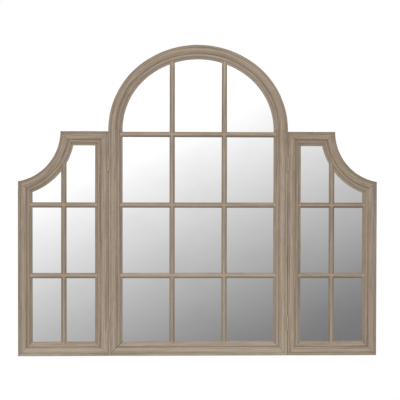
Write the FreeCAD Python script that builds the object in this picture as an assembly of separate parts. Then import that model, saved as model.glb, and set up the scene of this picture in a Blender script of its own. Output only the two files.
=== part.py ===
import FreeCAD, Part
import math
import os

# A trifold wall mirror: an arched centre panel and two scooped wings that are hinged at the seams.
# Each panel is a moulded wooden frame with one mirror behind a grid of wooden glazing bars.
# The front faces -Y, +X is to the right and +Z is up. The origin lies midway between the head holes
# of the two keyhole hangers, on the plane of the frame's back. Sizes are in millimetres.

V = FreeCAD.Vector

# Panels, seen from the front
CENTRE_WIDTH = 610.0
SPRING_RISE = 5.0  # the arch springs from the centre stiles this far above the wings' top
HAUNCH_CENTRE_OFFSET = 25.0  # from the middle of the panel to the centre of either haunch arc
CROWN_LIFT = 8.5  # the crown stands this far above the top of the haunch circles
ARCH_JOINT_ANGLE = 30.0  # degrees above the spring line, where haunch and crown are joined
WING_WIDTH = 304.0
WING_HEIGHT = 763.0
SCOOP_RADIUS = 172.5
SCOOP_CENTRE_OFFSET = 29.0  # the scoop is struck from a point this far outside the wing
SEAM_GAP = 1.0  # between the edges of centre and wing

# Glazing bars: their rows and columns, and their section
TOP_ROW_DROP = 10.0  # from the wings' top down to the centre's upper crossbar
ROW_PITCH = 240.0
CENTRE_ROWS = 3
WING_ROWS = 2  # level with the lower rows of the centre
CENTRE_COLUMNS = 3
BAR_WIDTH = 18.0
BAR_EDGE = 2.0  # height of the bar's straight sides above the glass
BAR_SHOULDER = 4.5  # height above the glass where the hollow sides meet the ridge
BAR_RISE = 6.0  # height of the ridge above the glass
BAR_RIDGE_WIDTH = 8.0
BAR_HOLLOW = 0.6  # depth of the hollow sides

# Frame moulding across its width, from the outer edge to the glass
FILLET_WIDTH = 8.0
TORUS_WIDTH = 20.0
GROOVE_WIDTH = 2.0
BEAD_WIDTH = 9.0
COVE_WIDTH = 9.0
COVE_HOLLOW = 1.5  # depth of the cove below its chord
EDGE_ROUND = 1.5
HINGE_STILE_TRIM = 4.0  # planed off the wing's hinge edge, so that stile is narrower
BOARD_LAP = 18.0  # rebate for the backing board, measured from the sight edge
GLASS_LAP = 8.0  # rebate for the mirror, measured from the sight edge

# Frame moulding in depth, from the back to the front
RECESS_DEPTH = 9.0  # from the frame's back to the backing board
BOARD_THICKNESS = 3.0
GLASS_THICKNESS = 4.0
LIP_THICKNESS = 2.5
GROOVE_RISE = 3.0  # this and the next four are heights above the lip
COVE_RISE = 4.0
TORUS_FOOT_RISE = 4.5
FILLET_RISE = 5.5
BEAD_RISE = 6.0
TORUS_RISE = 2.0  # above the outer fillet

# Clearances
SHEET_CLEARANCE = 1.0  # round the edge of a mirror or backing board
SCREW_FIT = 0.05
BISCUIT_FIT = 0.1

# Biscuits in the mitres and arch joints
BISCUIT_LENGTH = 26.0
BISCUIT_WIDTH = 16.0
BISCUIT_THICKNESS = 4.0

# Butt hinges in the seams
HINGE_LENGTH = 50.0
HINGE_END_DISTANCE = 110.0  # from the wing's top or bottom edge to the middle of a hinge
HINGE_AXIS_LIFT = 1.0  # the pin stands this far in front of the outer fillet
KNUCKLE_RADIUS = 3.0
KNUCKLE_CLEARANCE = 0.3
KNUCKLE_GAP = 0.2
PIN_RADIUS = 1.5
PIN_CLEARANCE = 0.05
LEAF_WIDTH = 20.0
LEAF_THICKNESS = 1.5
LEAF_FACE_GAP = 0.4  # between the two closed leaves
LEAF_FIT = 0.1
HINGE_SCREW_RADIUS = 1.2
HINGE_SCREW_HEAD_RADIUS = 2.4
HINGE_SCREW_LENGTH = 15.0
HINGE_SCREW_SPACING = 17.0
HINGE_SCREW_STAGGER = 2.5  # the middle screw sits this much further back
HINGE_SCREWS = 3

# Keyhole hangers in the back of the centre stiles
HANGER_DROP = 48.0  # from the spring line down to the head holes
HEAD_HOLE_RADIUS = 5.0
HANGER_SLOT_HALF_WIDTH = 2.5
HANGER_SLOT_RISE = 10.0  # from the head hole's centre up to the slot's end
PLATE_WIDTH = 16.0
PLATE_THICKNESS = 1.5
PLATE_BELOW = 16.0  # plate below the head hole's centre
PLATE_ABOVE = 27.0  # plate above the head hole's centre
PLATE_CORNER = 3.0
PLATE_SCREW_INSET = 5.0
POCKET_MARGIN = 1.0
POCKET_DEPTH = 8.0
HANGER_SCREW_RADIUS = 1.5
HANGER_SCREW_HEAD_RADIUS = 2.8
HANGER_SCREW_LENGTH = 16.0

# Screws of the backing boards
BACKING_SCREW_RADIUS = 1.5
BACKING_SCREW_HEAD_RADIUS = 3.2
BACKING_SCREW_HEAD_HEIGHT = 1.8
BACKING_SCREW_HEAD_ROUND = 0.8
BACKING_SCREW_HOLD = 7.0  # length in the wood
SCREW_POINT = 2.0
RECESS_WIDTH = 0.7  # cross recess of every screw head
SCREW_END_DISTANCE = 80.0  # from a panel's corner to the first screw of a side
CENTRE_STILE_SCREWS = 4
CENTRE_RAIL_SCREWS = 3
ARCH_SCREWS = 5
ARCH_SCREW_START = 20.0  # degrees above the spring line
OUTER_STILE_SCREWS = 3
HINGE_STILE_SCREWS = 4
SCOOP_SCREWS = 2

# Rubber bumpers on the back
BUMPER_RADIUS = 6.0
BUMPER_THICKNESS = 3.0
BUMPER_END_DISTANCE = 45.0

# Sizes worked out from the ones above
MOULDING_WIDTH = FILLET_WIDTH + TORUS_WIDTH + GROOVE_WIDTH + BEAD_WIDTH + COVE_WIDTH
BOARD_SEAT = RECESS_DEPTH + BOARD_THICKNESS
GLASS_FACE = BOARD_SEAT + GLASS_THICKNESS
LIP_FACE = GLASS_FACE + LIP_THICKNESS
FILLET_FACE = LIP_FACE + FILLET_RISE
CREST = FILLET_FACE + TORUS_RISE
HALF_WIDTH = CENTRE_WIDTH / 2
SPRING_HEIGHT = WING_HEIGHT + SPRING_RISE
HANGER_HEIGHT = SPRING_HEIGHT - HANGER_DROP
SEAM_X = -HALF_WIDTH - SEAM_GAP / 2
HINGE_EDGE = -HALF_WIDTH - SEAM_GAP
OUTER_EDGE = HINGE_EDGE - WING_WIDTH
MOULDED_HINGE_EDGE = HINGE_EDGE + HINGE_STILE_TRIM
SCOOP_X = OUTER_EDGE - SCOOP_CENTRE_OFFSET
AXIS_DEPTH = FILLET_FACE + HINGE_AXIS_LIFT
BAND_MIDDLE = (MOULDING_WIDTH - BOARD_LAP) / 2  # middle of the frame's flat back
LEDGE_MIDDLE = MOULDING_WIDTH - (BOARD_LAP + GLASS_LAP) / 2  # middle of the board's seat
BISCUIT_DEPTH = FILLET_FACE / 2
ROW_HEIGHTS = [WING_HEIGHT - TOP_ROW_DROP - i * ROW_PITCH for i in reversed(range(CENTRE_ROWS))]
MARGIN = 5.0  # cutting tools reach this far past what they cut
HALF_TURN = 180.0  # degrees

# The arch has three centres: the haunches meet the crown tangentially
HAUNCH_RADIUS = HALF_WIDTH - HAUNCH_CENTRE_OFFSET
ARCH_RISE = HAUNCH_RADIUS + CROWN_LIFT
CROWN_RADIUS = (HAUNCH_CENTRE_OFFSET**2 + ARCH_RISE**2 - HAUNCH_RADIUS**2) / (2 * CROWN_LIFT)
CROWN_DROP = CROWN_RADIUS - ARCH_RISE  # the crown's centre lies this far below the spring line
CROWN_CENTRE_HEIGHT = SPRING_HEIGHT - CROWN_DROP
CENTRE_HEIGHT = SPRING_HEIGHT + ARCH_RISE
TANGENT_ANGLE = math.degrees(math.atan2(CROWN_DROP, HAUNCH_CENTRE_OFFSET))


# Places and simple shapes

def at(x, height, depth):
    """A point given from the middle line, the bottom edge and the plane of the frame's back."""
    return V(x, -depth, height - HANGER_HEIGHT)


def spread(low, high, count):
    """Evenly spaced values from low to high."""
    return [low + (high - low) * i / (count - 1) for i in range(count)]


def closed_face(place, start, runs):
    """A flat face from a start point and runs: [end] is straight, [middle, end] is an arc."""
    edges = []
    here = place(*start)
    for run in runs:
        there = place(*run[-1])
        if len(run) == 1:
            edges.append(Part.LineSegment(here, there).toShape())
        else:
            edges.append(Part.Arc(here, place(*run[0]), there).toShape())
        here = there
    return Part.Face(Part.Wire(edges))


def plate(start, runs, back, front):
    """A flat piece with an outline in x and height, from one depth to another."""
    face = closed_face(lambda x, height: at(x, height, back), start, runs)
    return face.extrude(V(0, back - front, 0))


def block(x_from, x_to, height_from, height_to, depth_from, depth_to):
    """A box between two places."""
    corner = at(min(x_from, x_to), height_from, depth_to)
    return Part.makeBox(abs(x_to - x_from), depth_to - depth_from, height_to - height_from, corner)


def upright_rod(x, depth, low, high, radius):
    """A vertical round rod."""
    return Part.makeCylinder(radius, high - low, at(x, low, depth), V(0, 0, 1))


def largest(shape):
    """The largest solid of a shape that a cut has left in pieces."""
    return max(shape.Solids, key=lambda solid: solid.Volume)


def cut_where_met(piece, tools):
    """The piece less those tools that reach it."""
    for tool in tools:
        if piece.BoundBox.intersect(tool.BoundBox):
            piece = piece.cut(tool)
    return largest(piece)


def mirrored(shape):
    """The same piece for the other side of the middle line."""
    return shape.mirror(V(0, 0, 0), V(1, 0, 0))


# Frame members

def bow(start, end, rise):
    """The middle of a shallow arc, to the right of the way from start to end."""
    length = math.dist(start, end)
    across = (end[1] - start[1]) / length
    along = (start[0] - end[0]) / length
    return ((start[0] + end[0]) / 2 + rise * across, (start[1] + end[1]) / 2 + rise * along)


def moulding_section(place):
    """The frame's section: fillet, torus, groove, bead and cove in front, two rebates behind."""
    groove = LIP_FACE + GROOVE_RISE
    torus_spring = LIP_FACE + TORUS_FOOT_RISE
    torus_foot = FILLET_WIDTH + TORUS_WIDTH
    bead_foot = torus_foot + GROOVE_WIDTH
    bead_top = (bead_foot + BEAD_WIDTH / 2, LIP_FACE + BEAD_RISE)
    lip = (MOULDING_WIDTH, LIP_FACE)
    cove_top = (bead_foot + BEAD_WIDTH, LIP_FACE + COVE_RISE)
    board_edge = MOULDING_WIDTH - BOARD_LAP
    glass_edge = MOULDING_WIDTH - GLASS_LAP
    edge_bow = EDGE_ROUND * (1 - math.sqrt(0.5))
    runs = [
        [(board_edge, 0)],
        [(board_edge, BOARD_SEAT)],
        [(glass_edge, BOARD_SEAT)],
        [(glass_edge, GLASS_FACE)],
        [(MOULDING_WIDTH, GLASS_FACE)],
        [lip],
        [bow(lip, cove_top, -COVE_HOLLOW), cove_top],
        [bead_top, (bead_foot, groove)],
        [(torus_foot, groove)],
        [(torus_foot, torus_spring)],
        [(FILLET_WIDTH + TORUS_WIDTH / 2, CREST), (FILLET_WIDTH, torus_spring)],
        [(FILLET_WIDTH, FILLET_FACE)],
        [(EDGE_ROUND, FILLET_FACE)],
        [(edge_bow, FILLET_FACE - edge_bow), (0, FILLET_FACE - EDGE_ROUND)],
        [(0, 0)],
    ]
    return closed_face(place, (0, 0), runs)


def upright_member(edge, inward, low, high):
    """A length of moulding that stands upright with its outer edge at x = edge."""
    section = moulding_section(lambda u, depth: at(edge + inward * u, low, depth))
    return section.extrude(V(0, 0, high - low))


def level_member(edge, inward, left, right):
    """A length of moulding that lies level with its outer edge at that height."""
    section = moulding_section(lambda u, depth: at(left, edge + inward * u, depth))
    return section.extrude(V(right - left, 0, 0))


def curved_member(x, height, radius, inward, start, end):
    """Moulding bent round a centre, between two angles that rise from -X over +Z to +X."""
    section = moulding_section(lambda u, depth: at(x - radius + inward * u, height, depth))
    section.rotate(at(x, height, 0), V(0, 1, 0), start)
    return section.revolve(at(x, height, 0), V(0, 1, 0), end - start)


def mitre_block(path, away, curved=False):
    """A cutting block with one face on the mitre and its bulk on the side that away points to."""
    first = path(-MARGIN)
    last = path(MOULDING_WIDTH + MARGIN)
    mitre = [path(MOULDING_WIDTH / 2), last] if curved else [last]
    far_last = (last[0] + away[0], last[1] + away[1])
    far_first = (first[0] + away[0], first[1] + away[1])
    return plate(first, [mitre, [far_last], [far_first], [first]], -MARGIN, CREST + MARGIN)


def centre_corner(u):
    """The lower left mitre of the centre panel, at a distance u from both outer edges."""
    return (-HALF_WIDTH + u, u)


def wing_lower_corner(u):
    return (OUTER_EDGE + u, u)


def wing_lower_hinge_corner(u):
    return (MOULDED_HINGE_EDGE - u, u)


def wing_upper_hinge_corner(u):
    return (MOULDED_HINGE_EDGE - u, WING_HEIGHT - u)


def wing_shoulder(u):
    """Where scoop and outer stile meet."""
    drop = math.sqrt((SCOOP_RADIUS + u) ** 2 - (SCOOP_CENTRE_OFFSET + u) ** 2)
    return (OUTER_EDGE + u, WING_HEIGHT - drop)


def wing_top_corner(u):
    """Where scoop and top rail meet."""
    return (SCOOP_X + math.sqrt((SCOOP_RADIUS + u) ** 2 - u**2), WING_HEIGHT - u)


def scoop_angle(point):
    """The angle of a point about the scoop's centre, in the sense of curved_member."""
    return math.degrees(math.atan2(point[1] - WING_HEIGHT, SCOOP_X - point[0])) % 360


def arch_point(angle, inset):
    """A point on the arch at an angle above the left spring point, inset from the outer edge."""
    turn = math.radians(angle)
    if angle < TANGENT_ANGLE:
        x, height, radius = -HAUNCH_CENTRE_OFFSET, SPRING_HEIGHT, HAUNCH_RADIUS
    elif angle > HALF_TURN - TANGENT_ANGLE:
        x, height, radius = HAUNCH_CENTRE_OFFSET, SPRING_HEIGHT, HAUNCH_RADIUS
    else:
        x, height, radius = 0, CROWN_CENTRE_HEIGHT, CROWN_RADIUS
    return (x - (radius - inset) * math.cos(turn), height + (radius - inset) * math.sin(turn))


def centre_members():
    """The centre frame: stiles, bottom rail, and an arch of two haunches and a crown."""
    stile = upright_member(-HALF_WIDTH, 1, 0, SPRING_HEIGHT)
    stile = stile.cut(mitre_block(centre_corner, (0, -CENTRE_WIDTH)))
    rail = level_member(0, 1, -HALF_WIDTH, HALF_WIDTH)
    rail_end = mitre_block(centre_corner, (-CENTRE_WIDTH, 0))
    rail = rail.cut(rail_end).cut(mirrored(rail_end))
    haunch = (-HAUNCH_CENTRE_OFFSET, SPRING_HEIGHT, HAUNCH_RADIUS, 1)
    lower_haunch = curved_member(*haunch, 0, ARCH_JOINT_ANGLE)
    upper_haunch = curved_member(*haunch, ARCH_JOINT_ANGLE, TANGENT_ANGLE)
    crown_arc = (0, CROWN_CENTRE_HEIGHT, CROWN_RADIUS, 1)
    crown = curved_member(*crown_arc, TANGENT_ANGLE, HALF_TURN - TANGENT_ANGLE)
    return {
        "centre_left_stile": stile,
        "centre_right_stile": mirrored(stile),
        "centre_bottom_rail": rail,
        "arch_left_haunch": lower_haunch,
        "arch_right_haunch": mirrored(lower_haunch),
        "arch_crown": crown.fuse([upper_haunch, mirrored(upper_haunch)]),
    }


def wing_members():
    """The left wing's frame, with the moulding planed narrower along its hinge edge."""
    planed_off = block(
        HINGE_EDGE, HINGE_EDGE + MOULDING_WIDTH, -MARGIN, WING_HEIGHT + MARGIN, -MARGIN, CREST + MARGIN
    )
    outer = upright_member(OUTER_EDGE, 1, 0, WING_HEIGHT)
    outer = outer.cut(mitre_block(wing_lower_corner, (0, -WING_HEIGHT)))
    outer = outer.cut(mitre_block(wing_shoulder, (0, WING_HEIGHT), True))
    hinge = upright_member(MOULDED_HINGE_EDGE, -1, 0, WING_HEIGHT)
    hinge = hinge.cut(mitre_block(wing_lower_hinge_corner, (0, -WING_HEIGHT)))
    hinge = hinge.cut(mitre_block(wing_upper_hinge_corner, (0, WING_HEIGHT)))
    bottom = level_member(0, 1, OUTER_EDGE, MOULDED_HINGE_EDGE)
    bottom = bottom.cut(mitre_block(wing_lower_corner, (-WING_WIDTH, 0)))
    bottom = bottom.cut(mitre_block(wing_lower_hinge_corner, (WING_WIDTH, 0)))
    top = level_member(WING_HEIGHT, -1, SCOOP_X, MOULDED_HINGE_EDGE)
    top = top.cut(mitre_block(wing_top_corner, (-WING_WIDTH, 0), True))
    top = top.cut(mitre_block(wing_upper_hinge_corner, (WING_WIDTH, 0)))
    spare = math.degrees(MARGIN / SCOOP_RADIUS)
    last = scoop_angle(wing_shoulder(0)) + spare
    scoop = curved_member(SCOOP_X, WING_HEIGHT, SCOOP_RADIUS, -1, HALF_TURN - spare, last)
    scoop = scoop.cut(mitre_block(wing_top_corner, (WING_WIDTH, WING_WIDTH), True))
    scoop = scoop.cut(mitre_block(wing_shoulder, (-WING_WIDTH, -WING_WIDTH), True))
    return {
        "outer_stile": largest(outer),
        "hinge_stile": largest(hinge.cut(planed_off)),
        "bottom_rail": largest(bottom.cut(planed_off)),
        "top_rail": largest(top.cut(planed_off)),
        "scoop_rail": largest(scoop),
    }


# Glazing bars

def bar_section(place):
    """The section of a glazing bar: flat against the glass, hollow sides, round ridge."""
    half = BAR_WIDTH / 2
    edge = GLASS_FACE + BAR_EDGE
    ridge = BAR_RIDGE_WIDTH / 2
    shoulder = GLASS_FACE + BAR_SHOULDER
    runs = [
        [(half, GLASS_FACE)],
        [(half, edge)],
        [bow((half, edge), (ridge, shoulder), -BAR_HOLLOW), (ridge, shoulder)],
        [(0, GLASS_FACE + BAR_RISE), (-ridge, shoulder)],
        [bow((-ridge, shoulder), (-half, edge), -BAR_HOLLOW), (-half, edge)],
        [(-half, GLASS_FACE)],
    ]
    return closed_face(place, (-half, GLASS_FACE), runs)


def upright_bar(x, high):
    section = bar_section(lambda across, depth: at(x + across, MOULDING_WIDTH - COVE_WIDTH, depth))
    return section.extrude(V(0, 0, high - MOULDING_WIDTH + COVE_WIDTH))


def crossbar(height, left, right):
    section = bar_section(lambda across, depth: at(left, height + across, depth))
    return section.extrude(V(right - left, 0, 0))


def fitted_bars(uprights, crossbars, members):
    """Bars with their ends scribed to the frame, and halved into each other where they cross."""
    lap = GLASS_FACE + BAR_RISE / 2
    reach = (OUTER_EDGE, -OUTER_EDGE, 0, CENTRE_HEIGHT)
    lower_half = block(*reach, GLASS_FACE, lap)
    upper_half = block(*reach, lap, CREST)
    frame = list(members.values())
    crossing = [bar.common(upper_half) for bar in crossbars]
    crossed = [bar.common(lower_half) for bar in uprights]
    fitted_uprights = [cut_where_met(bar, frame + crossing) for bar in uprights]
    fitted_crossbars = [cut_where_met(bar, frame + crossed) for bar in crossbars]
    return fitted_uprights, fitted_crossbars


def centre_bars(members):
    sight = CENTRE_WIDTH - 2 * MOULDING_WIDTH
    pitch = (sight + BAR_WIDTH) / CENTRE_COLUMNS
    end = HALF_WIDTH - MOULDING_WIDTH + COVE_WIDTH
    uprights = [upright_bar(pitch * side / 2, CENTRE_HEIGHT) for side in (-1, 1)]
    crossbars = [crossbar(height, -end, end) for height in ROW_HEIGHTS]
    return fitted_bars(uprights, crossbars, members)


def wing_bars(members):
    left = OUTER_EDGE + MOULDING_WIDTH
    right = MOULDED_HINGE_EDGE - MOULDING_WIDTH
    uprights = [upright_bar((left + right) / 2, WING_HEIGHT)]
    ends = (left - COVE_WIDTH, right + COVE_WIDTH)
    crossbars = [crossbar(height, *ends) for height in ROW_HEIGHTS[:WING_ROWS]]
    return fitted_bars(uprights, crossbars, members)


# Mirrors and backing boards

def centre_sheet(inset, back, front):
    """A sheet in the shape of the centre panel, inset from its outer edge."""
    side = HALF_WIDTH - inset
    left = arch_point(TANGENT_ANGLE, inset)
    runs = [
        [(-side, SPRING_HEIGHT)],
        [arch_point(TANGENT_ANGLE / 2, inset), left],
        [arch_point(HALF_TURN / 2, inset), (-left[0], left[1])],
        [arch_point(HALF_TURN - TANGENT_ANGLE / 2, inset), (side, SPRING_HEIGHT)],
        [(side, inset)],
        [(-side, inset)],
    ]
    return plate((-side, inset), runs, back, front)


def wing_sheet(inset, back, front):
    """A sheet in the shape of the left wing, inset from its moulded outer edge."""
    shoulder = wing_shoulder(inset)
    top = wing_top_corner(inset)
    turn = math.radians((scoop_angle(shoulder) + scoop_angle(top)) / 2)
    radius = SCOOP_RADIUS + inset
    bend = (SCOOP_X - radius * math.cos(turn), WING_HEIGHT + radius * math.sin(turn))
    right = MOULDED_HINGE_EDGE - inset
    start = (OUTER_EDGE + inset, inset)
    runs = [[shoulder], [bend, top], [(right, WING_HEIGHT - inset)], [(right, inset)], [start]]
    return plate(start, runs, back, front)


def glazing(sheet):
    """The mirror and the backing board of a panel."""
    glass_inset = MOULDING_WIDTH - GLASS_LAP + SHEET_CLEARANCE
    board_inset = MOULDING_WIDTH - BOARD_LAP + SHEET_CLEARANCE
    mirror = sheet(glass_inset, BOARD_SEAT, GLASS_FACE)
    return mirror, sheet(board_inset, RECESS_DEPTH, BOARD_SEAT)


# Screws, biscuits and bumpers

def turned(outline):
    """A round piece from its half outline of radius and length along +Z."""
    corners = [V(radius, 0, along) for radius, along in outline + outline[:1]]
    return Part.Face(Part.makePolygon(corners)).revolve(V(0, 0, 0), V(0, 0, 1), 360)


def driven(screw, point, drive):
    """The screw, moved so that it is driven in at that point and in that direction."""
    screw.Placement = FreeCAD.Placement(point, FreeCAD.Rotation(V(0, 0, 1), drive))
    return screw


def with_cross_recess(screw, top, radius):
    """The screw with a cross recess cut down from the top of its head."""
    arm = Part.makeBox(radius, RECESS_WIDTH, RECESS_WIDTH, V(-radius / 2, -RECESS_WIDTH / 2, top))
    across = arm.copy()
    across.rotate(V(0, 0, 0), V(0, 0, 1), 90)
    return screw.cut(arm.fuse(across))


def countersunk_screw(point, drive, head_radius, radius, length):
    """A flat-headed screw whose head face lies at the point."""
    outline = [
        (0, 0),
        (head_radius, 0),
        (radius, head_radius - radius),
        (radius, length - SCREW_POINT),
        (0, length),
    ]
    screw = with_cross_recess(turned(outline), 0, head_radius)
    return driven(screw, point, drive)


def pan_screw(point, drive):
    """A round-headed screw of a backing board, with the underside of its head at the point."""
    head = BACKING_SCREW_HEAD_RADIUS
    top = -BACKING_SCREW_HEAD_HEIGHT
    length = BOARD_THICKNESS + BACKING_SCREW_HOLD
    outline = [
        (0, top),
        (head - BACKING_SCREW_HEAD_ROUND, top),
        (head, top + BACKING_SCREW_HEAD_ROUND),
        (head, 0),
        (BACKING_SCREW_RADIUS, 0),
        (BACKING_SCREW_RADIUS, length - SCREW_POINT),
        (0, length),
    ]
    return driven(with_cross_recess(turned(outline), top, head), point, drive)


def screw_hole(point, drive, radius, length):
    """The hole that a screw is driven into."""
    return Part.makeCylinder(radius + SCREW_FIT, length + SCREW_FIT, point, drive)


def countersink(point, drive, head_radius, radius):
    """The seat of a flat head in a metal plate, with the hole that goes on from it."""
    rim = head_radius + SCREW_FIT
    wall = radius + SCREW_FIT
    cone = Part.makeCone(rim, wall, head_radius - radius, point, drive)
    return cone.fuse(screw_hole(point, drive, radius, head_radius))


def backing_fixings(spots):
    """The screws of one backing board and their holes."""
    forward = V(0, -1, 0)
    points = [at(x, height, RECESS_DEPTH) for x, height in spots]
    length = BOARD_THICKNESS + BACKING_SCREW_HOLD
    screws = [pan_screw(point, forward) for point in points]
    return screws, [screw_hole(point, forward, BACKING_SCREW_RADIUS, length) for point in points]


def centre_screw_spots():
    side = HALF_WIDTH - LEDGE_MIDDLE
    heights = spread(SCREW_END_DISTANCE, SPRING_HEIGHT - SCREW_END_DISTANCE, CENTRE_STILE_SCREWS)
    across = HALF_WIDTH - SCREW_END_DISTANCE
    spots = [(x, height) for x in (-side, side) for height in heights]
    spots += [(x, LEDGE_MIDDLE) for x in spread(-across, across, CENTRE_RAIL_SCREWS)]
    angles = spread(ARCH_SCREW_START, HALF_TURN - ARCH_SCREW_START, ARCH_SCREWS)
    return spots + [arch_point(angle, LEDGE_MIDDLE) for angle in angles]


def wing_screw_spots():
    left = OUTER_EDGE + LEDGE_MIDDLE
    right = MOULDED_HINGE_EDGE - LEDGE_MIDDLE
    shoulder = wing_shoulder(MOULDING_WIDTH)[1]
    outer_heights = spread(SCREW_END_DISTANCE, shoulder - SCREW_END_DISTANCE, OUTER_STILE_SCREWS)
    hinge_heights = spread(SCREW_END_DISTANCE, WING_HEIGHT - SCREW_END_DISTANCE, HINGE_STILE_SCREWS)
    spots = [(left, height) for height in outer_heights]
    spots += [(right, height) for height in hinge_heights]
    spots += [((left + right) / 2, LEDGE_MIDDLE)]
    spots += [((wing_top_corner(MOULDING_WIDTH)[0] + right) / 2, WING_HEIGHT - LEDGE_MIDDLE)]
    first = scoop_angle(wing_top_corner(MOULDING_WIDTH))
    last = scoop_angle(wing_shoulder(MOULDING_WIDTH))
    radius = SCOOP_RADIUS + LEDGE_MIDDLE
    for angle in spread(first, last, SCOOP_SCREWS + 2)[1:-1]:
        turn = math.radians(angle)
        spots.append((SCOOP_X - radius * math.cos(turn), WING_HEIGHT + radius * math.sin(turn)))
    return spots


def biscuit(middle, toward, fit):
    """A lens-shaped biscuit whose long axis runs along a joint."""
    angle = math.atan2(toward[1] - middle[1], toward[0] - middle[0])
    half = BISCUIT_LENGTH / 2 + fit
    belly = BISCUIT_WIDTH / 2 + fit
    thick = BISCUIT_THICKNESS / 2 + fit

    def turn(along, across):
        x = middle[0] + along * math.cos(angle) - across * math.sin(angle)
        return (x, middle[1] + along * math.sin(angle) + across * math.cos(angle))

    left = turn(-half, 0)
    runs = [[turn(0, belly), turn(half, 0)], [turn(0, -belly), left]]
    return plate(left, runs, BISCUIT_DEPTH - thick, BISCUIT_DEPTH + thick)


def biscuits(joints):
    """A biscuit for every joint, with its slot. A joint is a path in the moulding's width."""
    ends = [(joint(BAND_MIDDLE), joint(MOULDING_WIDTH)) for joint in joints]
    pieces = [biscuit(middle, toward, 0) for middle, toward in ends]
    return pieces, [biscuit(middle, toward, BISCUIT_FIT) for middle, toward in ends]


def centre_joints():
    angles = (0, ARCH_JOINT_ANGLE, HALF_TURN - ARCH_JOINT_ANGLE, HALF_TURN)
    joints = [lambda u, angle=angle: arch_point(angle, u) for angle in angles]
    return joints + [centre_corner, lambda u: (-centre_corner(u)[0], u)]


def bumpers(spots):
    """Rubber discs on the frame's back."""
    sizes = (BUMPER_RADIUS, BUMPER_THICKNESS)
    return [Part.makeCylinder(*sizes, at(x, height, 0), V(0, 1, 0)) for x, height in spots]


# Butt hinges of the left seam

def knuckle_spans(low):
    """The heights that the frame leaf's two knuckles and the wing leaf's one knuckle take up."""
    third = HINGE_LENGTH / 3
    gap = KNUCKLE_GAP / 2
    high = low + HINGE_LENGTH
    frame = [(low, low + third - gap), (high - third + gap, high)]
    return frame, [(low + third + gap, high - third - gap)]


def hinge_leaf(side, low, own, other, bore):
    """A leaf with its knuckles. side is 1 for the leaf on the centre frame, -1 for the wing's."""
    face = SEAM_X + side * LEAF_FACE_GAP / 2
    back = face + side * LEAF_THICKNESS
    leaf = block(face, back, low, low + HINGE_LENGTH, AXIS_DEPTH - LEAF_WIDTH, AXIS_DEPTH)
    for start, end in other:
        room = KNUCKLE_RADIUS + KNUCKLE_CLEARANCE
        leaf = leaf.cut(upright_rod(SEAM_X, AXIS_DEPTH, start - KNUCKLE_GAP, end + KNUCKLE_GAP, room))
    leaf = leaf.fuse([upright_rod(SEAM_X, AXIS_DEPTH, *span, KNUCKLE_RADIUS) for span in own])
    leaf = leaf.cut(upright_rod(SEAM_X, AXIS_DEPTH, low - MARGIN, low + HINGE_LENGTH + MARGIN, bore))
    for point, drive in hinge_screw_spots(side, low):
        leaf = leaf.cut(countersink(point, drive, HINGE_SCREW_HEAD_RADIUS, HINGE_SCREW_RADIUS))
    return leaf.removeSplitter()


def hinge_screw_spots(side, low):
    """Where the screws of a leaf go in, with their direction."""
    face = SEAM_X + side * LEAF_FACE_GAP / 2
    reach = HINGE_SCREW_SPACING * (HINGE_SCREWS - 1) / 2
    middle = low + HINGE_LENGTH / 2
    depth = AXIS_DEPTH - (LEAF_WIDTH + KNUCKLE_RADIUS) / 2
    spots = []
    for i, height in enumerate(spread(middle - reach, middle + reach, HINGE_SCREWS)):
        stagger = HINGE_SCREW_STAGGER * (i % 2)
        spots.append((at(face, height, depth - stagger), V(side, 0, 0)))
    return spots


def hinge_screws(side, low):
    sizes = (HINGE_SCREW_HEAD_RADIUS, HINGE_SCREW_RADIUS, HINGE_SCREW_LENGTH)
    return [countersunk_screw(point, drive, *sizes) for point, drive in hinge_screw_spots(side, low)]


def hinge_mortise(side, low):
    """The room for leaf, knuckles and screws in the edge of one stile."""
    back = SEAM_X + side * (LEAF_FACE_GAP / 2 + LEAF_THICKNESS)
    bottom = low - LEAF_FIT
    top = low + HINGE_LENGTH + LEAF_FIT
    deepest = AXIS_DEPTH - LEAF_WIDTH - LEAF_FIT
    seat = block(SEAM_X, back, bottom, top, deepest, AXIS_DEPTH)
    barrel = upright_rod(SEAM_X, AXIS_DEPTH, bottom, top, KNUCKLE_RADIUS + KNUCKLE_CLEARANCE)
    holes = [
        screw_hole(point, drive, HINGE_SCREW_RADIUS, HINGE_SCREW_LENGTH)
        for point, drive in hinge_screw_spots(side, low)
    ]
    return seat.fuse([barrel] + holes)


def hinge_pieces(low):
    """Frame leaf, wing leaf and pin of one hinge of the left seam."""
    frame, wing = knuckle_spans(low)
    frame_leaf = hinge_leaf(1, low, frame, wing, PIN_RADIUS)
    wing_leaf = hinge_leaf(-1, low, wing, frame, PIN_RADIUS + PIN_CLEARANCE)
    pin = upright_rod(SEAM_X, AXIS_DEPTH, low, low + HINGE_LENGTH, PIN_RADIUS)
    return {"frame_leaf": frame_leaf, "wing_leaf": wing_leaf, "pin": pin}


# Keyhole hangers, of which this is the left one

def hanger_screw_points():
    x = -HALF_WIDTH + BAND_MIDDLE
    low = HANGER_HEIGHT - PLATE_BELOW + PLATE_SCREW_INSET
    high = HANGER_HEIGHT + PLATE_ABOVE - PLATE_SCREW_INSET
    return [at(x, low, 0), at(x, high, 0)]


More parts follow.
